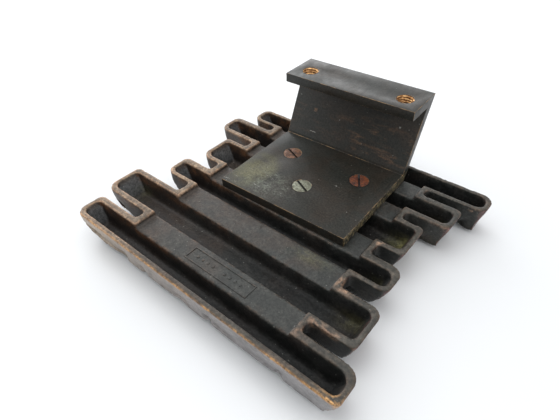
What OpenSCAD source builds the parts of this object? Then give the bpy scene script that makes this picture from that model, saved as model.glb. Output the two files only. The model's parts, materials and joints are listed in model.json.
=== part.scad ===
// Cast bronze door pull: a back-hollowed casting of six parallel ribs, held off
// the door by a bent bracket with two tapped holes and three countersunk screws.
// The origin is midway between the tapped holes, on the bracket's outer face.
// +Z leaves that face towards the door and +X runs along the bracket's long edge.

/* [Bracket] */
// Width of the bracket along the ribs
bracket_w = 95; // [80:1:110]
// Thickness of the plate, the web and the flange
bracket_t = 6.2; // [5:0.1:8]
// Distance from the door face to the underside of the plate
stand_off = 53; // [45:1:65]
// Depth of the plate, from its front edge to the inner foot of the web
plate_d = 73; // [68:0.5:76]
// Distance that the web leans back for each millimetre of height
web_lean = 0.47; // [0.3:0.01:0.6]
// Distance from the plate's front edge to the flange's front edge
flange_front = 72; // [68:0.5:76]

/* [Door bolts] */
// Distance between the two tapped holes
bolt_spacing = 71; // [60:1:76]
// Distance from the flange's front edge to the tapped holes
bolt_inset = 12.2; // [11:0.1:13]
// Diameter of the tapped holes at the thread's crests
bolt_bore_d = 10.2; // [9:0.1:10.6]
// Diameter of the chamfer at the mouth of each tapped hole
bolt_mouth_d = 11.1; // [10.7:0.1:12]

/* [Handle screws] */
// Distance between the two rear screws
screw_spacing = 54; // [50:1:60]
// Distance from the plate's front edge to the rear screws
screw_rear = 51.5; // [49:0.5:53]
// Distance from the plate's front edge to the front screw
screw_front_y = 25.2; // [23:0.2:27]
// Diameter of the screw heads
head_d = 12.7; // [11:0.1:13]
// Diameter of the screw threads
thread_d = 5.9; // [5:0.1:6]
// Length of the screws, head included
screw_len = 12; // [10:0.5:12]

/* [Casting] */
// Height of the raised rims above the flat lands between the ribs
rim_h = 3; // [2:0.1:4]
// Depth of the hollow ribs, from the rims to the front face
rib_depth = 21.5; // [19:0.5:24]
// Depth of the troughs in the ribs' backs, below the rims
trough_depth = 14.7; // [12:0.1:16]
// Thickness of the webs that join neighbouring ribs, below the lands
land_t = 6.5; // [6.2:0.1:8]
// Angle that the bracket is turned on the casting
skew = 1.6; // [0:0.1:2]

/* [Hidden] */
$fn = 48;
eps = 0.01;
cut = 40;

// Levels along Z, from the door downwards
plate_top = bracket_t - stand_off;
land_z = -stand_off;
rim_z = land_z + rim_h;
face_z = rim_z - rib_depth;
// Front edge of the plate
plate_y = -flange_front - bolt_inset;
// Horizontal thickness of the leaning web
web_run = bracket_t * sqrt(1 + web_lean * web_lean);

// Each row is one rib, seen from the back with X along it: near side, far side,
// left tip, right tip, width of the near rim, width of the far rim.
RIBS = [
  [-78.8, -58.8, -101, 98.2, 3.7, 4.5],
  [-52, -25, -107, 89.3, 4.3, 4.2],
  [-15.1, 4.4, -89.3, 85, 3.2, 5.2],
  [12.9, 40.5, -83.6, 78.9, 3.8, 3.8],
  [47.6, 68.2, -99.6, 90, 4, 4.5],
  [74.5, 92, -88.2, 100.8, 3.2, 3]
];
// Corner radii of each rib's back, in turn: near left, far left, far right, near right
RIB_R = [
  [7, 4, 9, 4],
  [8, 4, 7, 4],
  [7, 4, 8, 6],
  [8, 3, 4, 4],
  [8, 5, 4, 6],
  [7, 6, 8, 7]
];
// How each rib's walls close in towards the front face: the run of the left tip
// and of the right tip for each unit of depth, and the radius of the face's edges
RIB_FORM = [
  [0.5, 0.5, 8],
  [0.5, 0.4, 7],
  [0.5, 0.5, 7],
  [0.5, 0.4, 6],
  [0.45, 0.28, 5],
  [0.5, 0.22, 5]
];
left_rim = 2.8;
right_rim = 3.4;
trough_r = 4;

// Where the webs and their lands stop
core_left = -64.9;
core_right = 62.9;
land_left = -60;
land_right = 59.3;
notch_r = 2.5;

// Draft of the ribs' long walls, as run for each unit of depth
side_draft = 0.05;
trough_draft = 0.09;
floor_r = 3;

// Screws, as positions on the plate
SCREWS = [
  [-screw_spacing / 2, plate_y + screw_rear],
  [screw_spacing / 2, plate_y + screw_rear],
  [0, plate_y + screw_front_y]
];
SLOT_TURN = [-25, -58, -27];
slot_w = 1.5;
slot_d = 1.6;
fit_gap = 0.05;
clearance_d = thread_d + 0.6;
boss_d = 15;
BOSS_RIBS = [3, 4];
// Depth of each tapped hole past the end of its screw
hole_rest = 0.3;

// Framed panel on the first land, with a row of plain studs
panel_x = 4.5;
panel_w = 47;
panel_d = 9.6;
panel_line = 0.8;
panel_h = 0.6;
STUDS = [-17, -13, -9, -5, 4, 8, 12, 16];

// Points of the arc that rounds corner b of a polygon, between a and c
function unit(v) = v / norm(v);
function corner(a, b, c, r, n = 5) =
  let (
    u = unit(a - b),
    w = unit(c - b),
    half = acos(u * w) / 2,
    mid = b + unit(u + w) * r / sin(half),
    from = b + u * r / tan(half) - mid,
    to = b + w * r / tan(half) - mid,
    start = atan2(from[1], from[0]),
    turn = atan2(to[1], to[0]) - start,
    sweep = turn > 180 ? turn - 360 : turn < -180 ? turn + 360 : turn
  )
  [for (i = [0 : n]) mid + r * [cos(start + sweep * i / n), sin(start + sweep * i / n)]];

// A polygon with each corner rounded to its own radius, or left sharp at zero
function rounded(p, r) =
  let (k = len(p))
  [for (i = [0 : k - 1])
    each r[i] > 0 ? corner(p[(i + k - 1) % k], p[i], p[(i + 1) % k], r[i]) : [p[i]]];

// A block bounded by three rounded outlines: its plan, and its two sections.
// The sections narrow downwards by a slope and round off at the bottom.
module tapered_block(x0, x1, y0, y1, depth, plan_r, tips, draft, bottom_r) {
  run_0 = tips[0] * depth;
  run_1 = tips[1] * depth;
  run_y = draft * depth;
  intersection() {
    translate([0, 0, -depth])
      linear_extrude(depth)
        polygon(rounded([[x0, y0], [x0, y1], [x1, y1], [x1, y0]], plan_r));
    translate([0, y1, 0])
      rotate([90, 0, 0])
        linear_extrude(y1 - y0)
          polygon(rounded(
            [[x0, 0], [x1, 0], [x1 - run_1, -depth], [x0 + run_0, -depth]],
            [0, 0, bottom_r, bottom_r]));
    translate([x0, 0, 0])
      rotate([90, 0, 90])
        linear_extrude(x1 - x0)
          polygon(rounded(
            [[y0, 0], [y1, 0], [y1 - run_y, -depth], [y0 + run_y, -depth]],
            [0, 0, bottom_r, bottom_r]));
  }
}

module rib(i) {
  r = RIBS[i];
  translate([0, 0, rim_z])
    tapered_block(
      r[2], r[3], r[0], r[1],
      rib_depth, RIB_R[i], RIB_FORM[i], side_draft, RIB_FORM[i][2]);
}

module trough(i) {
  r = RIBS[i];
  plan = [for (c = RIB_R[i]) max(c - 2, trough_r)];
  translate([0, 0, rim_z])
    tapered_block(
      r[2] + left_rim, r[3] - right_rim, r[0] + r[4], r[1] - r[5],
      trough_depth, plan, RIB_FORM[i], trough_draft, floor_r);
}

// The web between rib i and the next, with a raised rim round each of its ends
module web(i) {
  y0 = RIBS[i][1] - RIBS[i][5] + eps;
  y1 = RIBS[i + 1][0] + RIBS[i + 1][4] - eps;
  notch0 = RIBS[i][1];
  notch1 = RIBS[i + 1][0];
  difference() {
    translate([core_left - notch_r, y0, land_z - land_t])
      cube([core_right - core_left + 2 * notch_r, y1 - y0, land_t + rim_h]);
    translate([0, 0, land_z - land_t - 1])
      linear_extrude(land_t + rim_h + 2) {
        polygon(rounded(
          [[core_left - cut, notch0], [core_left - cut, notch1],
           [core_left, notch1], [core_left, notch0]],
          [0, 0, notch_r, notch_r]));
        polygon(rounded(
          [[core_right, notch0], [core_right, notch1],
           [core_right + cut, notch1], [core_right + cut, notch0]],
          [notch_r, notch_r, 0, 0]));
      }
  }
}

// Space above a land, between the troughs on either side of it
module land_recess(i) {
  y0 = RIBS[i][1] - RIBS[i][5] - 1;
  y1 = RIBS[i + 1][0] + RIBS[i + 1][4] + 1;
  translate([land_left, y0, land_z])
    cube([land_right - land_left, y1 - y0, rim_h + 1]);
}

// Position of a screw in the casting's own axes
function on_casting(p) =
  let (q = p - [0, plate_y])
  [q[0] * cos(skew) - q[1] * sin(skew), q[0] * sin(skew) + q[1] * cos(skew)];

// Round bosses that carry the screws where they meet a trough
module bosses() {
  intersection() {
    for (i = BOSS_RIBS)
      rib(i);
    for (p = SCREWS)
      translate(concat(on_casting(p), [rim_z - trough_depth - 1]))
        cylinder(d = boss_d, h = trough_depth + 1 - rim_h);
  }
}

module tapped_screw_holes() {
  for (p = SCREWS)
    translate(concat(on_casting(p), [plate_top - screw_len - hole_rest]))
      cylinder(d = thread_d + 2 * fit_gap, h = screw_len);
}

module panel() {
  y = (RIBS[0][1] - RIBS[0][5] + RIBS[1][0] + RIBS[1][4]) / 2;
  translate([panel_x, y, land_z - eps]) {
    difference() {
      translate([-panel_w / 2, -panel_d / 2, 0])
        cube([panel_w, panel_d, panel_h]);
      translate([-panel_w / 2 + panel_line, -panel_d / 2 + panel_line, -1])
        cube([panel_w - 2 * panel_line, panel_d - 2 * panel_line, panel_h + 2]);
    }
    for (x = STUDS)
      translate([x, 0, 0])
        cylinder(d = 2, h = panel_h);
  }
}

module casting() {
  color("#4a4038")
    translate([0, plate_y, 0])
      rotate(-skew)
        difference() {
          union() {
            difference() {
              union() {
                for (i = [0 : len(RIBS) - 1])
                  rib(i);
                for (i = [0 : len(RIBS) - 2])
                  web(i);
              }
              for (i = [0 : len(RIBS) - 1])
                trough(i);
              for (i = [0 : len(RIBS) - 2])
                land_recess(i);
            }
            bosses();
            panel();
          }
          tapped_screw_holes();
        }
}

module bracket() {
  web_foot = plate_y + plate_d;
  web_head = web_foot + web_lean * (-bracket_t - plate_top);
  color("#3d3a35")
    difference() {
      translate([-bracket_w / 2, 0, 0])
        rotate([90, 0, 90])
          linear_extrude(bracket_w)
            polygon([
              [plate_y, land_z],
              [web_foot - web_lean * bracket_t + web_run, land_z],
              [web_foot - web_lean * plate_top + web_run, 0],
              [-bolt_inset, 0],
              [-bolt_inset, -bracket_t],
              [web_head, -bracket_t],
              [web_foot, plate_top],
              [plate_y, plate_top]
            ]);
      for (side = [-1, 1])
        translate([side * bolt_spacing / 2, 0, 0])
          tapped_bolt_hole();
      for (p = SCREWS)
        translate(concat(p, [plate_top]))
          countersunk_hole();
    }
}

module tapped_bolt_hole() {
  mouth = (bolt_mouth_d - bolt_bore_d) / 2;
  translate([0, 0, -bracket_t - 1])
    cylinder(d = bolt_bore_d, h = bracket_t + 2);
  translate([0, 0, -mouth])
    cylinder(d1 = bolt_bore_d, d2 = bolt_mouth_d + 2, h = mouth + 1);
}

module countersunk_hole() {
  cone = (head_d + 2 * fit_gap - clearance_d) / 2;
  translate([0, 0, -bracket_t - 1])
    cylinder(d = clearance_d, h = bracket_t + 2);
  translate([0, 0, -cone])
    cylinder(d1 = clearance_d, d2 = head_d + 2 * fit_gap + 2, h = cone + 1);
}

module screw(i) {
  cone = (head_d - thread_d) / 2;
  p = SCREWS[i];
  translate(concat(p, [plate_top]))
    rotate(SLOT_TURN[i])
      difference() {
        union() {
          translate([0, 0, -cone])
            cylinder(d1 = thread_d, d2 = head_d, h = cone);
          translate([0, 0, -screw_len])
            cylinder(d = thread_d, h = screw_len - cone + eps);
        }
        translate([-head_d, -slot_w / 2, -slot_d])
          cube([2 * head_d, slot_w, slot_d + 1]);
      }
}

module screw_left() {
  color("#a8693f")
    screw(0);
}

module screw_right() {
  color("#8f4a2b")
    screw(1);
}

module screw_front() {
  color("#b9bfae")
    screw(2);
}

casting();
bracket();
screw_left();
screw_right();
screw_front();
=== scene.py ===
"""Looks of a cast bronze door pull that lies face down, with its bracket and screws.

Lengths are in metres in the part's own frame: +Z towards the door, +X along the
bracket's long edge, origin between the bracket's two tapped holes. Names that end
in _MM, and the places on the casting, are in millimetres.
"""
import json
import math

import bmesh
import bpy
import numpy as np
from mathutils import Matrix, Vector, noise
from mathutils.bvhtree import BVHTree

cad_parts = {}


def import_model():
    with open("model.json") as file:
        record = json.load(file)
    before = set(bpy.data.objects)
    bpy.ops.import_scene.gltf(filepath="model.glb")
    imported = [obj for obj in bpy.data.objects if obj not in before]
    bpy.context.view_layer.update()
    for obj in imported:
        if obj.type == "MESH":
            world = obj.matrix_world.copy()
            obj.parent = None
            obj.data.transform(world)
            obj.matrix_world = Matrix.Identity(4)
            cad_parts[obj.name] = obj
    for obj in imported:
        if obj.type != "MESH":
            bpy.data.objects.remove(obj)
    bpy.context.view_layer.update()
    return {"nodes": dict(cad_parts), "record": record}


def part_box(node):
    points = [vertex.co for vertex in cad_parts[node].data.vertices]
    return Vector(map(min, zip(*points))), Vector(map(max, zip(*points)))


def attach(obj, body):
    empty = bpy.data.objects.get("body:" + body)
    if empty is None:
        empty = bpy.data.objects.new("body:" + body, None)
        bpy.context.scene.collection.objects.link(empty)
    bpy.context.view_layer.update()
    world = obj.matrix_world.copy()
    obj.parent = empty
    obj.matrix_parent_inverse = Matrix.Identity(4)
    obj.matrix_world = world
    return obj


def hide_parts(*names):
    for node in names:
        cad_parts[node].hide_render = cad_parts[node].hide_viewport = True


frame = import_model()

MM = 0.001
CASTING_LOW, CASTING_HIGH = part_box("casting")
BRACKET_LOW, BRACKET_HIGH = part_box("bracket")
MOUNTS = {m["name"]: m for m in frame["record"]["mounts"]}
BOLTS = MOUNTS["door_bolts"]["dims"]

# The casting is turned a little under the bracket. The lands carry the plate.
SKEW = math.radians(1.6)
PLATE_THICK = 6.2 * MM
RIM_Z = CASTING_HIGH.z
LAND_Z = BRACKET_LOW.z
FACE_Z = CASTING_LOW.z
PLATE_Y = BRACKET_LOW.y
PLATE_TOP = LAND_Z + PLATE_THICK
PLATE_RIGHT_MM = BRACKET_HIGH.x / MM

# Places on the casting are in millimetres along and across the ribs from the middle
# of the plate's front edge. The near side is the outer edge of the nearest rib.
NEAR_SIDE = -78.8
# The nearest rib's right corner, where a highlight is painted
HIGHLIGHT_CORNER = (93, -77)

# Copper-red scars on the rims: x, y and half widths
COPPER_SPOTS = (
    (65.5, -50.5, 3.2, 2.0),
    (61.5, -59, 1.8, 2.5),
    (74, -51, 4.5, 1.3),
    (61.8, -23, 2.2, 3.0),
    (66, -27, 4, 1.2),
    (63, 14.5, 1.6, 2.2),
    (65.5, 44, 1.6, 2.0),
    (93, 76, 1.2, 2.5),
    (88, 47, 3, 1.0),
)

# Green stains at the troughs' ends: x, y, half widths and strength
MOSS_SPOTS = (
    (71, 33, 8, 6, 1.0),
    (76, 2, 8, 4, 0.7),
    (78, -31, 9, 5, 0.3),
    (84, 58, 8, 6, 0.4),
    (-96, -27, 6, 9, 0.35),
)

# The founder's panel on the first land: its middle, its size, its frame and its studs
PANEL_X, PANEL_Y = 4.5, -55.5
PANEL_WIDE, PANEL_DEEP = 47, 9.6
PANEL_LINE, PANEL_HIGH = 0.7, 0.32
STUDS = (-17, -13, -9, -5, 4, 8, 12, 16)

# Centres of the three screws and the radius of their heads, in millimetres
SCREW_NODES = ("screw_left", "screw_right", "screw_front")
SCREWS = tuple((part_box(name)[0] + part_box(name)[1]) / (2 * MM) for name in SCREW_NODES)
HEAD_R = (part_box("screw_front")[1].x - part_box("screw_front")[0].x) / (2 * MM)


# ---------------------------------------------------------------- mesh helpers

def new_object(name, data):
    item = bpy.data.objects.new(name, data)
    bpy.context.scene.collection.objects.link(item)
    return item


def from_bmesh(name, bm):
    mesh = bpy.data.meshes.new(name)
    bm.to_mesh(mesh)
    bm.free()
    return new_object(name, mesh)


def welded(mesh):
    """A bmesh of the mesh with its doubled vertices joined."""
    bm = bmesh.new()
    bm.from_mesh(mesh)
    bmesh.ops.remove_doubles(bm, verts=bm.verts, dist=1e-6)
    return bm


def without_flat_edges(bm):
    bmesh.ops.dissolve_limit(bm, angle_limit=math.radians(2), verts=bm.verts, edges=bm.edges)


def store(bm, mesh):
    bm.to_mesh(mesh)
    bm.free()


def apply_modifiers(item):
    """Replaces an object's mesh with the result of its modifiers."""
    graph = bpy.context.evaluated_depsgraph_get()
    mesh = bpy.data.meshes.new_from_object(item.evaluated_get(graph))
    item.modifiers.clear()
    item.data = mesh
    return item


def add_bevel(item, width_mm, sharper_than):
    bevel = item.modifiers.new("bevel", "BEVEL")
    bevel.width = width_mm * MM
    bevel.segments = 3
    bevel.limit_method = "ANGLE"
    bevel.angle_limit = math.radians(sharper_than)
    return bevel


def coordinates(mesh):
    flat = np.empty(len(mesh.vertices) * 3)
    mesh.vertices.foreach_get("co", flat)
    return flat.reshape(-1, 3)


def normals(mesh):
    flat = np.empty(len(mesh.vertices) * 3, np.float32)
    mesh.vertex_normals.foreach_get("vector", flat)
    return flat.reshape(-1, 3).astype(float)


def set_coordinates(mesh, points):
    mesh.vertices.foreach_set("co", points.astype(np.float32).ravel())
    mesh.update()


def set_attribute(mesh, name, values):
    """Stores one number per vertex for a material to read."""
    layer = mesh.attributes.new(name, "FLOAT", "POINT")
    layer.data.foreach_set("value", np.clip(values, 0, 1).astype(np.float32))


def edges_of(mesh):
    flat = np.empty(len(mesh.edges) * 2, np.int64)
    mesh.edges.foreach_get("vertices", flat)
    return flat.reshape(-1, 2)


def averaged(values, edges, passes, share=0.5):
    """Values moved towards the mean of their neighbours, again and again."""
    count = len(values)
    ends = np.concatenate([edges[:, 0], edges[:, 1]])
    others = np.concatenate([edges[:, 1], edges[:, 0]])
    degree = np.maximum(np.bincount(ends, minlength=count), 1).astype(float)
    out = values.astype(float).copy()
    columns = out.reshape(count, -1)
    for _ in range(passes):
        sums = [np.bincount(ends, columns[others, k], count) for k in range(columns.shape[1])]
        mean = np.stack([total / degree for total in sums], axis=1)
        columns += share * (mean - columns)
    return out


def smoothstep(low, high, values):
    t = np.clip((values - low) / (high - low), 0, 1)
    return t * t * (3 - 2 * t)


def noise_at(points, size_mm, octaves=1, seed=0.0, stretch=(1, 1, 1)):
    """Smooth noise from -1 to 1 with features of about the given size."""
    scaled = points / (np.array(stretch) * (size_mm * MM)) + seed
    if octaves == 1:
        return np.array([noise.noise(p) for p in scaled])
    return np.array([noise.fractal(p, 0.6, 2.1, octaves) for p in scaled])


def patch_at(x, y, at_x, at_y, wide, deep):
    """A soft round patch on the casting, 1 in its middle."""
    return np.exp(-((x - at_x) / wide) ** 2 - ((y - at_y) / deep) ** 2)


# ---------------------------------------------------------------- the casting

VOXEL = 0.8 * MM
MOST_FACES = 190_000
RAYS = 9
RAY_REACH = 30 * MM


def along_ribs(points):
    """Distances along and across the ribs from the plate's front edge, in millimetres."""
    x, y = points[:, 0] / MM, (points[:, 1] - PLATE_Y) / MM
    turn_cos, turn_sin = math.cos(SKEW), math.sin(SKEW)
    return x * turn_cos - y * turn_sin, x * turn_sin + y * turn_cos


def openness(points, directions, tree):
    """Share of the half space above each point that is free of other metal."""
    rng = np.random.default_rng(7)
    rays = rng.normal(size=(RAYS, 3))
    rays /= np.linalg.norm(rays, axis=1)[:, None]
    free = np.zeros(len(points))
    for i, (point, up) in enumerate(zip(points, directions)):
        start = Vector(point + up * 0.4 * MM)
        for ray in rays:
            way = ray + up * 1.05
            hit = tree.ray_cast(start, Vector(way), RAY_REACH)
            free[i] += hit[0] is None
    return free / len(rays)


def flatten_panel(points):
    """Takes the panel out of the land, where its own sharper piece stands."""
    x, y = along_ribs(points)
    panel = (np.abs(x - PANEL_X) < PANEL_WIDE / 2 + 1.5) & (np.abs(y - PANEL_Y) < PANEL_DEEP / 2 + 1.3)
    points[panel & (points[:, 2] > LAND_Z - 0.5 * MM), 2] = LAND_Z


def casting_cut(points, up, free):
    """How deep the sand casting's surface lies under the plain CAD shape, in millimetres."""
    below = (RIM_Z - points[:, 2]) / MM
    front = smoothstep(0.35, 0.8, -up[:, 2])
    wall = smoothstep(0.5, 0.85, free) * smoothstep(0.55, 0.2, np.abs(up[:, 2])) * (1 - front)

    # Slow waves down the outer walls
    cut = wall * smoothstep(1, 16, below) * (0.9 + 0.9 * noise_at(points, 15, 2, 3.1, (1, 1, 2.5)))

    # Scallops bitten out of the lower edges
    lower_edge = smoothstep(-0.2, -0.7, up[:, 2]) * smoothstep(0.35, 0.7, free)
    scallop = np.maximum(lower_edge, wall) * smoothstep(6, 19, below)
    bites = smoothstep(0.26, 0.0, np.abs(noise_at(points, 19, 1, 5.2, (1, 1, 6))))
    cut += scallop * (0.2 + 2.9 * bites)

    # Ridges and facets of the rugged front face
    ridges = 1 - np.abs(noise_at(points, 17, 3, 9.4))
    facets = np.abs(noise_at(points, 6, 2, 5.5))
    cut += front * (0.3 + 2.0 * ridges ** 3 + 0.8 * facets)

    # The sand's own texture, stronger outside
    cut += 0.09 * (1 + noise_at(points, 2.6, 2, 1.7)) * (0.3 + 0.7 * np.maximum(wall, front))
    return cut


def rough_cast(mesh):
    """Wavy outer walls, a rugged front face and a fine sand texture, all cut inwards."""
    edges = edges_of(mesh)
    points = averaged(coordinates(mesh), edges, 1)
    flatten_panel(points)
    set_coordinates(mesh, points)
    up = averaged(normals(mesh), edges, 4)
    up /= np.linalg.norm(up, axis=1)[:, None]

    tree = BVHTree.FromPolygons([Vector(p) for p in points], [tuple(f.vertices) for f in mesh.polygons])
    free = averaged(openness(points, up, tree), edges, 5)
    cut = casting_cut(points, up, free)

    # Edges stand out from the mean of their surroundings and are worn and nicked
    outside = averaged(points, edges, 7) - points
    bulge = -(outside * up).sum(axis=1) / MM
    worn = smoothstep(0.04, 0.34, bulge)
    nicks = smoothstep(0.3, 0.6, noise_at(points, 4.2, 2, 12.3))
    cut += worn * (0.04 + 0.22 * nicks)
    cut = np.maximum(cut, 0.02)
    points = points - up * (cut * MM)[:, None]
    set_coordinates(mesh, points)
    return points, up, averaged(free, edges, 2), worn


def gold_and_highlight_mask(points, x, y, below, worn):
    """Worn metal along the nearest rib's outer edge, partly a painted highlight, and a painted highlight on its
    right corner.
    """
    beyond = np.hypot(y - NEAR_SIDE, below)
    broken = smoothstep(-0.35, 0.35, noise_at(points, 7, 2, 2.2))
    line = smoothstep(1.25, 0.6, beyond) * (0.45 + 0.55 * broken)
    corner = patch_at(x, y, *HIGHLIGHT_CORNER, 6, 4) * smoothstep(5, 1.5, below) * smoothstep(0.05, 0.45, worn)
    return np.maximum(0.9 * line ** 1.6, 0.75 * corner)


def scar_mask(points, x, y, below):
    """Copper-red scars where the rims have been knocked."""
    scar = np.zeros(len(x))
    for spot in COPPER_SPOTS:
        scar = np.maximum(scar, smoothstep(3.5, 2.4, below) * patch_at(x, y, *spot))
    return scar * 0.85 * smoothstep(-0.25, 0.25, noise_at(points, 2.4, 2, 8.8))


def green_mask(x, y, below):
    """Green stains at the bottom of the troughs, and one on a land beside the plate."""
    low = smoothstep(6, 11, below)
    green = np.zeros(len(x))
    for *spot, strength in MOSS_SPOTS:
        green = np.maximum(green, strength * low * patch_at(x, y, *spot))
    on_land = patch_at(x, y, 38, -17, 10, 3.5) * smoothstep(5, 3.4, below)
    return np.maximum(green, 0.4 * on_land)


def rust_mask(points, x, y, below, up, free):
    """Rust-brown tops of the troughs' far walls, stronger to the left."""
    upright = smoothstep(0.75, 0.3, np.abs(up[:, 2]))
    rust = smoothstep(40, -60, x) * upright * smoothstep(0.1, 0.6, -up[:, 1]) * smoothstep(9, 3, below)
    rust *= smoothstep(NEAR_SIDE + 8, NEAR_SIDE + 14, y) * smoothstep(0.75, 0.35, free)
    return rust * smoothstep(-0.5, 0.3, noise_at(points, 9, 2, 6.6))


def casting_masks(mesh, points, up, free, worn):
    """Where the patina is rubbed through, copper red, green or full of grime, and where shade, sheen and
    highlights are painted.
    """
    x, y = along_ribs(points)
    below = (RIM_Z - points[:, 2]) / MM
    level = smoothstep(0.5, 0.9, up[:, 2])
    upright = smoothstep(0.75, 0.3, np.abs(up[:, 2]))
    rim = smoothstep(2.6, 0.9, below) * np.maximum(level, 0.6 * worn)
    left = smoothstep(-25, -75, x)
    right = smoothstep(40, 75, x)

    lip = rim * smoothstep(0.3, 0.85, worn)
    copper = lip * left * (0.7 + 0.4 * noise_at(points, 8, 2, 4.1)) * smoothstep(85, 25, y)
    right_ends = right * smoothstep(0.25, 0.7, free) * upright * smoothstep(0.1, 0.5, up[:, 0])
    copper = np.maximum(copper, 0.35 * right_ends * smoothstep(0.15, 0.5, noise_at(points, 4.5, 3, 7.7)))

    rubbed = rim * (0.15 + 0.85 * left) * smoothstep(170, 90, y)
    rubbed *= 0.55 + 0.45 * smoothstep(0.15, 0.7, worn)
    rubbed *= 1 + 0.6 * np.exp(-((y + 2) / 24) ** 2)

    # The near wall is painted light and made glossy, as a reflection of the white floor
    near_wall = smoothstep(NEAR_SIDE + 9, NEAR_SIDE + 4, y) * upright * smoothstep(0.3, 0.7, free)
    end_walls = smoothstep(0.35, 0.75, free) * upright * smoothstep(0.3, 0.8, np.abs(up[:, 0]))
    left_inside = left * upright * smoothstep(0.2, 0.7, up[:, 0]) * smoothstep(0.85, 0.5, free)
    masks = {
        # Painted sheen: the insides of the left end walls are made lighter and bluer, as if lit by the room
        "left_end_sheen": left_inside * smoothstep(1.5, 4, below),
        "worn": worn,
        "gold_and_highlight": gold_and_highlight_mask(points, x, y, below, worn),
        "copper": copper,
        "rubbed": rubbed,
        # Trough floors, darkened in the material by grime and painted shade
        "deep": smoothstep(8, 12, below) * level * (0.35 + 0.65 * smoothstep(-60, 40, x)),
        "scar": scar_mask(points, x, y, below),
        "rust": rust_mask(points, x, y, below, up, free),
        "green": green_mask(x, y, below),
        "near_wall_sheen": near_wall,
        "maroon": end_walls * smoothstep(20, 70, x),
        "brown": np.maximum(left * 0.8, smoothstep(60, -100, x) * 0.6),
        "open": free,
    }
    for name, values in masks.items():
        set_attribute(mesh, name, values)


def turned(mesh, angle):
    mesh.transform(Matrix.Rotation(angle, 4, "Z"))


def casting_body(material):
    mesh = frame["nodes"]["casting"].data.copy()
    body = new_object("casting_body", mesh)
    store(welded(mesh), mesh)
    turned(mesh, SKEW)
    remesh = body.modifiers.new("remesh", "REMESH")
    remesh.mode = "VOXEL"
    remesh.voxel_size = VOXEL
    apply_modifiers(body)
    turned(body.data, -SKEW)
    points, up, free, worn = rough_cast(body.data)
    casting_masks(body.data, points, up, free, worn)
    thin = body.modifiers.new("thin", "DECIMATE")
    thin.ratio = min(1.0, MOST_FACES / (2 * len(body.data.polygons)))
    apply_modifiers(body)
    body.data.shade_smooth()
    body.data.materials.clear()
    body.data.materials.append(material)
    return body


def founders_panel(material):
    """The thin raised frame and studs on the first land."""
    bm = bmesh.new()
    half_x, half_y, line = PANEL_WIDE / 2, PANEL_DEEP / 2, PANEL_LINE
    bars = [(0, side * (half_y - line / 2), PANEL_WIDE, line) for side in (-1, 1)]
    bars += [(side * (half_x - line / 2), 0, line, PANEL_DEEP - 2 * line) for side in (-1, 1)]
    for x, y, wide, deep in bars:
        place = Matrix.Translation((x, y, 0)) @ Matrix.Diagonal((wide, deep, 2 * PANEL_HIGH, 1))
        bmesh.ops.create_cube(bm, size=1, matrix=place)
    for x in STUDS:
        place = Matrix.Diagonal((1, 1, PANEL_HIGH, 1)) @ Matrix.Translation((x, 0, 0))
        bmesh.ops.create_uvsphere(bm, u_segments=20, v_segments=12, radius=1, matrix=place)
    place = Matrix.Translation((0, PLATE_Y, LAND_Z)) @ Matrix.Rotation(-SKEW, 4, "Z")
    place = place @ Matrix.Scale(MM, 4) @ Matrix.Translation((PANEL_X, PANEL_Y, 0))
    bmesh.ops.transform(bm, matrix=place, verts=bm.verts)
    item = from_bmesh("founders_panel", bm)
    add_bevel(item, 0.22, 30)
    apply_modifiers(item)
    item.data.shade_smooth()
    item.data.materials.append(material)
    points = coordinates(item.data)
    ones = np.ones(len(points))
    casting_masks(item.data, points, normals(item.data), ones, 0.5 * ones)
    return item


# ---------------------------------------------------------------- materials

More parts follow.
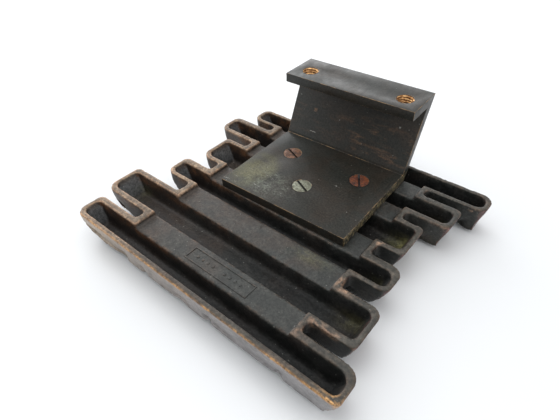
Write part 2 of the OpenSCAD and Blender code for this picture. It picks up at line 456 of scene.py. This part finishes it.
class Nodes:
    """A short way to write a material's node tree. Lengths are in millimetres."""

    def __init__(self, name):
        self.material = bpy.data.materials.new(name)
        self.material.use_nodes = True
        self.tree = self.material.node_tree
        self.shader = self.tree.nodes["Principled BSDF"]
        self.place = self.add("ShaderNodeTexCoord").outputs["Object"]

    def add(self, kind):
        return self.tree.nodes.new(kind)

    def put(self, socket, value):
        if isinstance(value, bpy.types.NodeSocket):
            self.tree.links.new(value, socket)
        elif isinstance(value, tuple) and len(value) == 3:
            socket.default_value = (*value, 1.0)
        else:
            socket.default_value = value

    def attribute(self, name):
        node = self.add("ShaderNodeAttribute")
        node.attribute_name = name
        return node.outputs["Fac"]

    def math(self, operation, a, b=0.5, clamp=False):
        node = self.add("ShaderNodeMath")
        node.operation = operation
        node.use_clamp = clamp
        self.put(node.inputs[0], a)
        self.put(node.inputs[1], b)
        return node.outputs[0]

    def joined(self, operation, values):
        first, *others = values
        for value in others:
            first = self.math(operation, first, value)
        return first

    def product(self, *values):
        return self.joined("MULTIPLY", values)

    def total(self, *values):
        return self.joined("ADD", values)

    def largest(self, *values):
        return self.joined("MAXIMUM", values)

    def ramp(self, value, low, high, to_low=0.0, to_high=1.0):
        node = self.add("ShaderNodeMapRange")
        node.interpolation_type = "SMOOTHSTEP"
        self.put(node.inputs["Value"], value)
        for name, number in (("From Min", low), ("From Max", high), ("To Min", to_low), ("To Max", to_high)):
            node.inputs[name].default_value = number
        return node.outputs["Result"]

    def noise(self, size, detail=3.0, rough=0.55, warp=0.0, stretch=None):
        """Noise from 0 to 1 with features of about the given size."""
        node = self.add("ShaderNodeTexNoise")
        self.put(node.inputs["Vector"], self.moved(stretch) if stretch else self.place)
        node.inputs["Scale"].default_value = 1 / (size * MM)
        node.inputs["Detail"].default_value = detail
        node.inputs["Roughness"].default_value = rough
        node.inputs["Distortion"].default_value = warp
        return node.outputs["Fac"]

    def moved(self, scale):
        node = self.add("ShaderNodeMapping")
        self.put(node.inputs["Vector"], self.place)
        node.inputs["Scale"].default_value = scale
        return node.outputs["Vector"]

    def mixed(self, kind, share, a, b):
        node = self.add("ShaderNodeMix")
        node.data_type = kind
        self.put(node.inputs["Factor"], share)
        self.put(node.inputs["A"], a)
        self.put(node.inputs["B"], b)
        return node.outputs["Result"]

    def mix(self, share, a, b):
        return self.mixed("RGBA", share, a, b)

    def mix_value(self, share, a, b):
        return self.mixed("FLOAT", share, a, b)

    def scaled(self, colour, factor):
        node = self.add("ShaderNodeVectorMath")
        node.operation = "SCALE"
        self.put(node.inputs[0], colour)
        self.put(node.inputs["Scale"], factor)
        return node.outputs["Vector"]

    def axis(self, letter):
        node = self.add("ShaderNodeSeparateXYZ")
        self.put(node.inputs[0], self.place)
        return node.outputs[letter]

    def along(self, letter, low, high, to_low=0.0, to_high=1.0):
        """A step along one axis, between two places in millimetres of the part's frame."""
        return self.ramp(self.axis(letter), low * MM, high * MM, to_low, to_high)

    def spot(self, x, y, radius_x, radius_y):
        """A soft spot seen from above, in millimetres of the part's frame."""
        dx = self.math("MULTIPLY", self.math("SUBTRACT", self.axis("X"), x * MM), 1 / (radius_x * MM))
        dy = self.math("MULTIPLY", self.math("SUBTRACT", self.axis("Y"), y * MM), 1 / (radius_y * MM))
        far = self.math("ADD", self.math("MULTIPLY", dx, dx), self.math("MULTIPLY", dy, dy))
        return self.ramp(far, 1.0, 0.0)

    def bump(self, height, strength, distance):
        node = self.add("ShaderNodeBump")
        node.inputs["Strength"].default_value = strength
        node.inputs["Distance"].default_value = distance * MM
        self.put(node.inputs["Height"], height)
        self.put(self.shader.inputs["Normal"], node.outputs["Normal"])

    def finish(self, colour, roughness, metallic):
        self.put(self.shader.inputs["Base Color"], colour)
        self.put(self.shader.inputs["Roughness"], roughness)
        self.put(self.shader.inputs["Metallic"], metallic)
        return self.material


UMBER = (0.052, 0.034, 0.024)
OLIVE_BLACK = (0.026, 0.028, 0.025)
DUST = (0.062, 0.058, 0.052)
SHEEN_GREY = (0.125, 0.130, 0.132)
MAROON = (0.102, 0.041, 0.038)
NEAR_BLACK = (0.011, 0.011, 0.0115)
NEAR_SHEEN_LEFT = (0.44, 0.34, 0.24)
NEAR_SHEEN_RIGHT = (0.36, 0.34, 0.34)
RUBBED_TAN = (0.34, 0.245, 0.160)
RUBBED_BROWN = (0.20, 0.105, 0.055)
RUST = (0.115, 0.052, 0.022)
COPPER = (0.50, 0.30, 0.19)
GOLD_AND_HIGHLIGHT = (0.72, 0.40, 0.16)
MOSS = (0.150, 0.140, 0.060)
PLATE_BROWN = (0.028, 0.0225, 0.017)
PLATE_BLACK = (0.021, 0.0215, 0.018)
VERDIGRIS = (0.17, 0.185, 0.145)
CHALK = (0.42, 0.42, 0.38)
CRUST = (0.26, 0.21, 0.115)
ARRIS_GOLD = (0.30, 0.19, 0.095)
THREAD_BRIGHT = (0.74, 0.44, 0.20)
THREAD_DARK = (0.30, 0.14, 0.055)


def worn_patina(n, colour, opened):
    """Brown patches on worn edges that lie open, stronger on the browner left side."""
    patches = n.ramp(n.noise(5, 5, 0.65), 0.45, 0.6)
    worn = n.product(n.attribute("worn"), patches, n.ramp(opened, 0.3, 0.75))
    worn = n.product(worn, n.ramp(n.attribute("brown"), 0, 0.8, 0.2, 0.6))
    return n.mix(worn, colour, RUBBED_BROWN)


def cast_bronze():
    """The casting's dark patina, and what has rubbed, stained or rusted it."""
    n = Nodes("cast_bronze")
    large = n.noise(30, 4, 0.6, 0.3)
    medium = n.noise(8, 6, 0.65, 0.5)
    fine = n.noise(1.4, 4, 0.65)
    opened = n.attribute("open")

    # The patina itself, darker in the troughs with grime and with painted shade where little of the room is
    # open above
    brown = n.math("ADD", n.ramp(large, 0.38, 0.66, -0.2, 0.5), n.attribute("brown"), True)
    colour = n.mix(brown, OLIVE_BLACK, UMBER)
    colour = n.mix(n.ramp(medium, 0.45, 0.75, 0, 0.6), colour, DUST)
    colour = n.mix(n.product(n.attribute("maroon"), 0.8), colour, MAROON)
    # Grime and painted shade: near black where the metal is hemmed in and deep in the troughs
    grime_and_shade = n.largest(n.ramp(opened, 0.45, 0.05, 0, 0.7), n.product(n.attribute("deep"), 0.7))
    colour = n.mix(grime_and_shade, colour, NEAR_BLACK)
    # Painted sheen on the insides of the left end walls
    colour = n.mix(n.product(n.attribute("left_end_sheen"), 0.75), colour, SHEEN_GREY)
    colour = n.mix(n.product(n.attribute("rust"), n.ramp(medium, 0.3, 0.6)), colour, RUST)

    # Rims and edges where it has rubbed thin
    rubbed = n.product(n.attribute("rubbed"), n.ramp(medium, 0.25, 0.6, 0.2, 0.7))
    colour = n.mix(rubbed, colour, RUBBED_TAN)
    colour = worn_patina(n, colour, opened)
    green = n.product(n.attribute("green"), n.ramp(n.noise(4, 4, 0.6), 0.25, 0.6))
    colour = n.mix(green, colour, MOSS)

    # Bare metal and painted light: the near wall's light colour, a painted reflection of the floor; the copper
    # scars; the gold line, partly a painted highlight
    near_wall_sheen = n.product(n.attribute("near_wall_sheen"), n.ramp(n.noise(9, 5, 0.65, 0.4), 0.25, 0.6, 0.5, 1))
    sheen_colour = n.mix(n.attribute("brown"), NEAR_SHEEN_RIGHT, NEAR_SHEEN_LEFT)
    colour = n.mix(n.product(near_wall_sheen, 0.85), colour, sheen_colour)
    copper = n.product(n.attribute("copper"), n.ramp(n.noise(3, 4, 0.65, 0.4), 0.3, 0.55))
    colour = n.mix(n.product(copper, 0.7), colour, COPPER)
    scar = n.product(n.attribute("scar"), n.ramp(n.noise(1.6, 4, 0.7, 0.4), 0.3, 0.5, 0.3, 1))
    colour = n.mix(scar, colour, COPPER)
    # The gold line and corner: worn metal and a painted highlight
    gold_and_highlight = n.product(n.attribute("gold_and_highlight"), n.ramp(fine, 0.3, 0.55))
    colour = n.mix(gold_and_highlight, colour, GOLD_AND_HIGHLIGHT)

    # Grain, weaker on the near wall's painted reflection, and pale specks
    grain = n.product(n.ramp(n.noise(1.5, 4, 0.75), 0.32, 0.68, 0.55, 1.5), n.ramp(medium, 0.3, 0.7, 0.8, 1.2))
    colour = n.scaled(colour, n.mix_value(n.product(near_wall_sheen, 0.6), grain, 1.0))
    specks = n.ramp(n.noise(1.3, 2, 0.5), 0.71, 0.75)
    colour = n.mix(n.product(specks, 0.35), colour, CHALK)

    bright = n.largest(gold_and_highlight, n.product(copper, 0.8))
    bright = n.largest(bright, n.product(rubbed, 0.75))
    bright = n.largest(bright, n.product(near_wall_sheen, 0.8))
    dull = n.mix_value(n.attribute("maroon"), n.ramp(medium, 0.2, 0.8, 0.38, 0.56), 0.27)
    n.put(n.shader.inputs["Specular IOR Level"], n.mix_value(n.attribute("deep"), 0.5, 0.2))
    n.bump(n.total(n.product(fine, 0.9), n.product(medium, 1.6)), 0.7, 0.3)
    return n.finish(colour, n.mix_value(bright, dull, 0.36), n.mix_value(bright, 0.25, 0.9))


def screw_rings(n):
    """Dark dirt in the ring round each countersunk head."""
    dirt = 0.0
    for place in SCREWS:
        dx = n.math("SUBTRACT", n.axis("X"), place.x * MM)
        dy = n.math("SUBTRACT", n.axis("Y"), place.y * MM)
        far = n.math("SQRT", n.total(n.product(dx, dx), n.product(dy, dy)))
        dirt = n.largest(n.ramp(far, (HEAD_R + 1.1) * MM, (HEAD_R + 0.3) * MM), dirt)
    return dirt


def web_mark(n, x, z, half_x, half_z):
    """A small blemish on the sloping web, in millimetres."""
    across = n.math("ABSOLUTE", n.math("SUBTRACT", n.axis("X"), x * MM))
    along = n.math("ABSOLUTE", n.math("SUBTRACT", n.axis("Z"), z * MM))
    inside_x = n.ramp(across, half_x * MM, half_x * 0.5 * MM)
    inside_z = n.ramp(along, half_z * MM, half_z * 0.5 * MM)
    return n.product(inside_x, inside_z, n.ramp(n.noise(1.0, 3, 0.7), 0.4, 0.6, 0.1, 0.7))


def plate_stains(n, colour, plate, medium):
    """Dust, verdigris, moss and pale scuffs on the plate's left front quarter."""
    dusty = n.product(n.ramp(medium, 0.35, 0.7, 0.3, 0.9), n.spot(-20, -68, 44, 30))
    colour = n.mix(n.product(dusty, plate, 0.45), colour, DUST)
    smear = n.product(n.ramp(n.noise(5, 6, 0.8, 0.6), 0.42, 0.66), n.spot(-22, -70, 27, 18))
    colour = n.mix(n.product(smear, plate, 0.55), colour, VERDIGRIS)
    yellow = n.product(n.ramp(n.noise(14, 4, 0.6), 0.3, 0.62), n.spot(-36, -62, 17, 26))
    colour = n.mix(n.product(yellow, plate, 0.5), colour, MOSS)
    scuffs = n.ramp(n.noise(2.2, 4, 0.8, 0.3, (0.35, 1, 1)), 0.60, 0.68)
    marks = n.largest(n.spot(22, -46, 9, 5), n.spot(-20, -70, 26, 16), n.spot(-44, -78, 10, 8))
    return n.mix(n.product(scuffs, marks, 0.55), colour, CHALK)


def web_stains(n, colour):
    """Brown streaks low on the web, more to the right, and three small blemishes."""
    top = PLATE_TOP / MM
    streaks = n.ramp(n.noise(5, 5, 0.7, 0.3, (0.35, 1, 1.6)), 0.48, 0.70)
    low_web = n.product(n.along("Z", top + 2, top + 5), n.along("Z", -16, -28))
    streaks = n.product(streaks, n.product(low_web, n.along("X", -15, 15, 0.15, 0.42)))
    colour = n.mix(streaks, colour, RUBBED_BROWN)
    colour = n.mix(web_mark(n, -27, -41, 3.2, 0.35), colour, CHALK)
    colour = n.mix(web_mark(n, -29, -27, 1.8, 1.6), colour, RUBBED_BROWN)
    return n.mix(web_mark(n, 35, -21, 0.8, 0.9), colour, CHALK)


def bracket_bronze():
    """The bracket's near-black patina, with its stains, crust and brushed flange."""
    n = Nodes("bracket_bronze")
    large = n.noise(26, 5, 0.6, 0.6)
    medium = n.noise(7, 5, 0.65, 0.4)
    fine = n.noise(1.2, 3, 0.6)
    top = PLATE_TOP / MM
    colour = n.mix(n.ramp(large, 0.35, 0.65), PLATE_BLACK, PLATE_BROWN)
    plate = n.product(n.along("Z", top - 0.5, top - 0.2), n.along("Z", top + 2, top + 1))
    colour = plate_stains(n, colour, plate, medium)
    colour = web_stains(n, colour)

    # Yellow-brown crust on the plate's right edge
    edge_x = PLATE_RIGHT_MM
    crust = n.product(n.along("X", edge_x - 0.9, edge_x - 0.2), n.along("Z", top + 1, top - 1))
    crust = n.product(crust, n.ramp(n.noise(1.8, 4, 0.75, 0.4), 0.46, 0.6))
    colour = n.mix(n.product(crust, 0.9), colour, CRUST)

    # The flange is brushed across, with a duller band beside its left hole
    brushed = n.noise(2.2, 4, 0.7, 0.0, (1, 0.1, 1))
    flange = n.along("Z", -0.6, -0.3)
    band = n.product(flange, n.spot(-25, 0, 9, 40))
    colour = n.scaled(colour, n.mix_value(flange, 1.0, n.ramp(brushed, 0.3, 0.7, 0.75, 1.3)))

    colour = n.mix(screw_rings(n), colour, NEAR_BLACK)
    colour = n.scaled(colour, n.ramp(n.noise(1.2, 4, 0.75), 0.32, 0.68, 0.6, 1.45))
    specks = n.ramp(n.noise(1.5, 2, 0.5), 0.74, 0.78)
    colour = n.mix(n.product(specks, 0.5), colour, CHALK)
    roughness = n.total(n.ramp(medium, 0.25, 0.75, 0.32, 0.50), n.product(band, 0.10))
    height = n.total(n.product(fine, 0.7), n.total(medium, n.product(brushed, flange, 0.5)))
    n.bump(height, 0.45, 0.18)
    n.put(n.shader.inputs["Specular IOR Level"], n.mix_value(plate, 0.5, 0.2))
    return n.finish(colour, roughness, n.mix_value(plate, 0.2, 0.1))


def rubbed_edge():
    """The bracket's arrises, where the patina has worn through in places."""
    n = Nodes("rubbed_edge")
    front_left = n.product(n.along("X", -10, -40, 0.0, 0.14), n.along("Y", -60, -80))
    patches = n.ramp(n.total(n.noise(7, 5, 0.65), front_left), 0.42, 0.6)
    colour = n.mix(patches, PLATE_BROWN, ARRIS_GOLD)
    n.bump(n.noise(1.2, 3, 0.6), 0.4, 0.15)
    return n.finish(colour, 0.4, n.ramp(patches, 0, 1, 0.2, 0.7))


def bright_thread():
    """The brighter metal of the tapped holes, with some tarnish."""
    n = Nodes("bright_thread")
    tarnish = n.ramp(n.noise(3, 4, 0.6), 0.35, 0.65)
    colour = n.mix(tarnish, THREAD_BRIGHT, THREAD_DARK)
    n.bump(n.noise(0.8, 3, 0.6), 0.3, 0.1)
    return n.finish(colour, n.ramp(tarnish, 0, 1, 0.22, 0.42), 0.95)


def screw_metal(name, clean, dirty, deep, roughness, metallic):
    """A tarnished screw head whose sunk slot holds painted shade."""
    n = Nodes(name)
    top = PLATE_TOP / MM
    patches = n.ramp(n.noise(3.4, 5, 0.65, 0.4), 0.38, 0.62)
    colour = n.mix(patches, clean, dirty)
    pits = n.ramp(n.noise(1.1, 4, 0.6), 0.48, 0.62)
    colour = n.mix(n.product(pits, 0.8), colour, deep)
    # Painted shade: the sunk slot is made near black and dull
    slot_shade = n.along("Z", top - 0.35, top - 0.75)
    colour = n.mix(n.product(slot_shade, 0.85), colour, NEAR_BLACK)
    n.bump(n.noise(0.9, 4, 0.6), 0.5, 0.15)
    return n.finish(colour, n.ramp(patches, 0, 1, roughness, roughness + 0.2), n.mix_value(slot_shade, metallic, 0.1))


# ---------------------------------------------------------------- the bracket

PITCH = 1.75 * MM
CREST_R = BOLTS["hole_r_mm"] * MM
ROOT_R = CREST_R + 0.7 * MM
SLEEVE_R = ROOT_R + 0.25 * MM
MOUTH_ROWS = 3
SLEEVE_AROUND, SLEEVE_ROWS = 72, 56
HOLE_XS = tuple(side * BOLTS["spacing_x_mm"] / 2 * MM for side in (-1, 1))
BRONZE, ARRIS, THREAD = 0, 1, 2


def ring(bm, x, radius, z):
    angles = (2 * math.pi * k / SLEEVE_AROUND for k in range(SLEEVE_AROUND))
    return [bm.verts.new((x + radius * math.cos(a), radius * math.sin(a), z)) for a in angles]


def thread_radius(turn, z, top, bottom):
    """Radius of the helical thread at a height and a share of a turn, with open mouths."""
    phase = (z / PITCH - turn) % 1.0
    wave = min(1.0, max(0.0, 2.6 * abs(phase - 0.5) - 0.15))
    radius = ROOT_R + (CREST_R - ROOT_R) * wave
    mouth = CREST_R + 0.55 * MM - min(top - z, z - bottom)
    return min(max(radius, mouth), SLEEVE_R - 0.05 * MM)


def thread_sleeve(bm, x, top, bottom):
    """The threaded wall of a tapped hole: a tube with a helical inner face."""
    rings = []
    for row in range(SLEEVE_ROWS + 1):
        z = top + (bottom - top) * row / SLEEVE_ROWS
        inner = []
        for k in range(SLEEVE_AROUND):
            angle = 2 * math.pi * k / SLEEVE_AROUND
            radius = thread_radius(k / SLEEVE_AROUND, z, top, bottom)
            inner.append(bm.verts.new((x + radius * math.cos(angle), radius * math.sin(angle), z)))
        rings.append(inner)
    outer_top = ring(bm, x, SLEEVE_R, top)
    outer_bottom = ring(bm, x, SLEEVE_R, bottom)
    rings = [outer_top] + rings + [outer_bottom, outer_top]
    for i, (upper, lower) in enumerate(zip(rings, rings[1:])):
        for k in range(SLEEVE_AROUND):
            j = (k + 1) % SLEEVE_AROUND
            face = bm.faces.new((upper[k], upper[j], lower[j], lower[k]))
            face.material_index = THREAD if MOUTH_ROWS < i <= SLEEVE_ROWS else BRONZE


def widen_bolt_holes(bm):
    """Makes room for the threaded sleeves: their bores and chamfers become plain."""
    for vert in bm.verts:
        for x in HOLE_XS:
            away = Vector((vert.co.x - x, vert.co.y))
            if away.length < CREST_R + 0.8 * MM and vert.co.z > -7 * MM:
                away *= (SLEEVE_R - 0.02 * MM) / away.length
                vert.co.x, vert.co.y = x + away.x, away.y


def bracket_body():
    mesh = frame["nodes"]["bracket"].data.copy()
    body = new_object("bracket_body", mesh)
    bm = welded(mesh)
    widen_bolt_holes(bm)
    without_flat_edges(bm)
    store(bm, mesh)
    mesh.materials.clear()
    for material in (bracket_bronze(), rubbed_edge(), bright_thread()):
        mesh.materials.append(material)
    for face in mesh.polygons:
        face.material_index = BRONZE
    add_bevel(body, 0.35, 35).material = ARRIS
    apply_modifiers(body)
    mesh = body.data
    bm = bmesh.new()
    bm.from_mesh(mesh)
    for x in HOLE_XS:
        thread_sleeve(bm, x, BRACKET_HIGH.z - 0.01 * MM, BRACKET_HIGH.z - PLATE_THICK + 0.01 * MM)
    bmesh.ops.recalc_face_normals(bm, faces=bm.faces)
    store(bm, mesh)
    mesh.shade_smooth()
    mesh.set_sharp_from_angle(angle=math.radians(40))
    return body


# ---------------------------------------------------------------- the screws

# Node, material, clean, dirty and pitted colours, roughness and metallic
SCREW_LOOKS = (
    ("screw_left", "copper_screw",
     (0.23, 0.105, 0.055), (0.10, 0.045, 0.024), (0.04, 0.022, 0.015), 0.45, 0.2),
    ("screw_right", "rusty_screw",
     (0.17, 0.045, 0.014), (0.075, 0.018, 0.008), (0.015, 0.008, 0.005), 0.5, 0.1),
    ("screw_front", "pale_screw",
     (0.27, 0.28, 0.21), (0.17, 0.17, 0.125), (0.08, 0.075, 0.05), 0.38, 0.4),
)


def screw_body(node, material):
    mesh = frame["nodes"][node].data.copy()
    body = new_object(node + "_body", mesh)
    bm = welded(mesh)
    without_flat_edges(bm)
    store(bm, mesh)
    add_bevel(body, 0.18, 30)
    apply_modifiers(body)
    body.data.materials.clear()
    body.data.materials.append(material)
    body.data.shade_smooth()
    body.data.set_sharp_from_angle(angle=math.radians(40))
    return body


# ---------------------------------------------------------------- stage

FOCAL_MM = 28.16
SENSOR_MM = 36
CAMERA_AT = Vector((129.58, -239.53, 130.28)) * MM
CAMERA_YAW, CAMERA_PITCH, CAMERA_ROLL = (math.radians(a) for a in (129.46, 41.68, -2.12))

# Where the room's light comes from, and how strong it is
WINDOW_WAY = (-0.897, 0.126, 0.423)
HORIZON_WAY = (-0.55, 0.835, 0.0)
SIDE_WAY = (0.798, -0.249, 0.549)
UP_WAY = (0, 0, 1)
WINDOW_LIGHT = 1.5
HORIZON_LIGHT = 1.45
SIDE_LIGHT = 0.95
ROOM_LIGHT = 0.12
DAYLIGHT = (0.97, 0.985, 1.0)
TABLE_WHITE = (0.82, 0.83, 0.84)
TABLE_HALF = 2.5


def camera():
    ahead = Vector((
        math.cos(CAMERA_YAW) * math.cos(CAMERA_PITCH),
        math.sin(CAMERA_YAW) * math.cos(CAMERA_PITCH),
        -math.sin(CAMERA_PITCH)))
    level = Vector((math.sin(CAMERA_YAW), -math.cos(CAMERA_YAW), 0))
    upright = level.cross(ahead)
    right = math.cos(CAMERA_ROLL) * level + math.sin(CAMERA_ROLL) * upright
    up = right.cross(ahead)
    data = bpy.data.cameras.new("camera")
    data.sensor_width = SENSOR_MM
    data.lens = FOCAL_MM
    data.clip_start = 0.005
    item = new_object("camera", data)
    item.matrix_world = Matrix((
        (right.x, up.x, -ahead.x, CAMERA_AT.x),
        (right.y, up.y, -ahead.y, CAMERA_AT.y),
        (right.z, up.z, -ahead.z, CAMERA_AT.z),
        (0, 0, 0, 1)))
    bpy.context.scene.camera = item


def soft_box(name, place, aim, width, height, power):
    data = bpy.data.lights.new(name, "AREA")
    data.shape = "RECTANGLE"
    data.size, data.size_y = width, height
    data.energy = power
    item = new_object(name, data)
    item.location = place
    item.rotation_euler = (Vector(aim) - Vector(place)).to_track_quat("-Z", "Y").to_euler()


def floor():
    bm = bmesh.new()
    corners = [(-1, -1), (1, -1), (1, 1), (-1, 1)]
    level = FACE_Z - 0.05 * MM
    bm.faces.new([bm.verts.new((x * TABLE_HALF, y * TABLE_HALF, level)) for x, y in corners])
    item = from_bmesh("floor", bm)
    n = Nodes("white_table")
    n.bump(n.noise(400, 2, 0.5), 0.02, 1)
    item.data.materials.append(n.finish(TABLE_WHITE, 0.30, 0.0))


def world():
    """Windows on the left, a bright wall behind and a dim room on the viewer's side."""
    scene = bpy.context.scene
    scene.world = bpy.data.worlds.new("studio")
    scene.world.use_nodes = True
    tree = scene.world.node_tree
    place = tree.nodes.new("ShaderNodeTexCoord").outputs["Generated"]

    def towards(way):
        node = tree.nodes.new("ShaderNodeVectorMath")
        node.operation = "DOT_PRODUCT"
        node.inputs[1].default_value = way
        tree.links.new(place, node.inputs[0])
        return node.outputs["Value"]

    def ramp(value, low, high, start, end):
        node = tree.nodes.new("ShaderNodeMapRange")
        node.interpolation_type = "SMOOTHSTEP"
        for name, number in (("From Min", low), ("From Max", high), ("To Min", start), ("To Max", end)):
            node.inputs[name].default_value = number
        tree.links.new(value, node.inputs["Value"])
        return node.outputs["Result"]

    def joined(operation, a, b):
        node = tree.nodes.new("ShaderNodeMath")
        node.operation = operation
        tree.links.new(a, node.inputs[0])
        tree.links.new(b, node.inputs[1])
        return node.outputs["Value"]

    window = ramp(towards(WINDOW_WAY), 0.25, 1.0, ROOM_LIGHT, WINDOW_LIGHT)
    low = ramp(towards(UP_WAY), 0.62, 0.38, 0.0, 1.0)
    behind = ramp(towards(HORIZON_WAY), 0.0, 0.9, 0.0, HORIZON_LIGHT)
    side = ramp(towards(SIDE_WAY), 0.0, 1.0, 0.0, SIDE_LIGHT)
    light = joined("ADD", joined("ADD", window, side), joined("MULTIPLY", low, behind))
    back = tree.nodes["Background"]
    back.inputs["Color"].default_value = (*DAYLIGHT, 1)
    tree.links.new(light, back.inputs["Strength"])
    scene.view_settings.view_transform = "Standard"


# ---------------------------------------------------------------- all together

camera()
world()
floor()
soft_box("ceiling", (-0.1, 0.1, 1.1), (0, -0.07, -0.05), 1.2, 1.2, 5)

casting_metal = cast_bronze()
pieces = [
    (casting_body(casting_metal), "casting", "cast_bronze"),
    (bracket_body(), "bracket", "bracket_bronze"),
]
for node, slot, *look in SCREW_LOOKS:
    pieces.append((screw_body(node, screw_metal(slot, *look)), node, slot))
for piece, node, slot in pieces:
    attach(piece, "root")
    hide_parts(node)
panel = founders_panel(casting_metal)
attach(panel, "root")
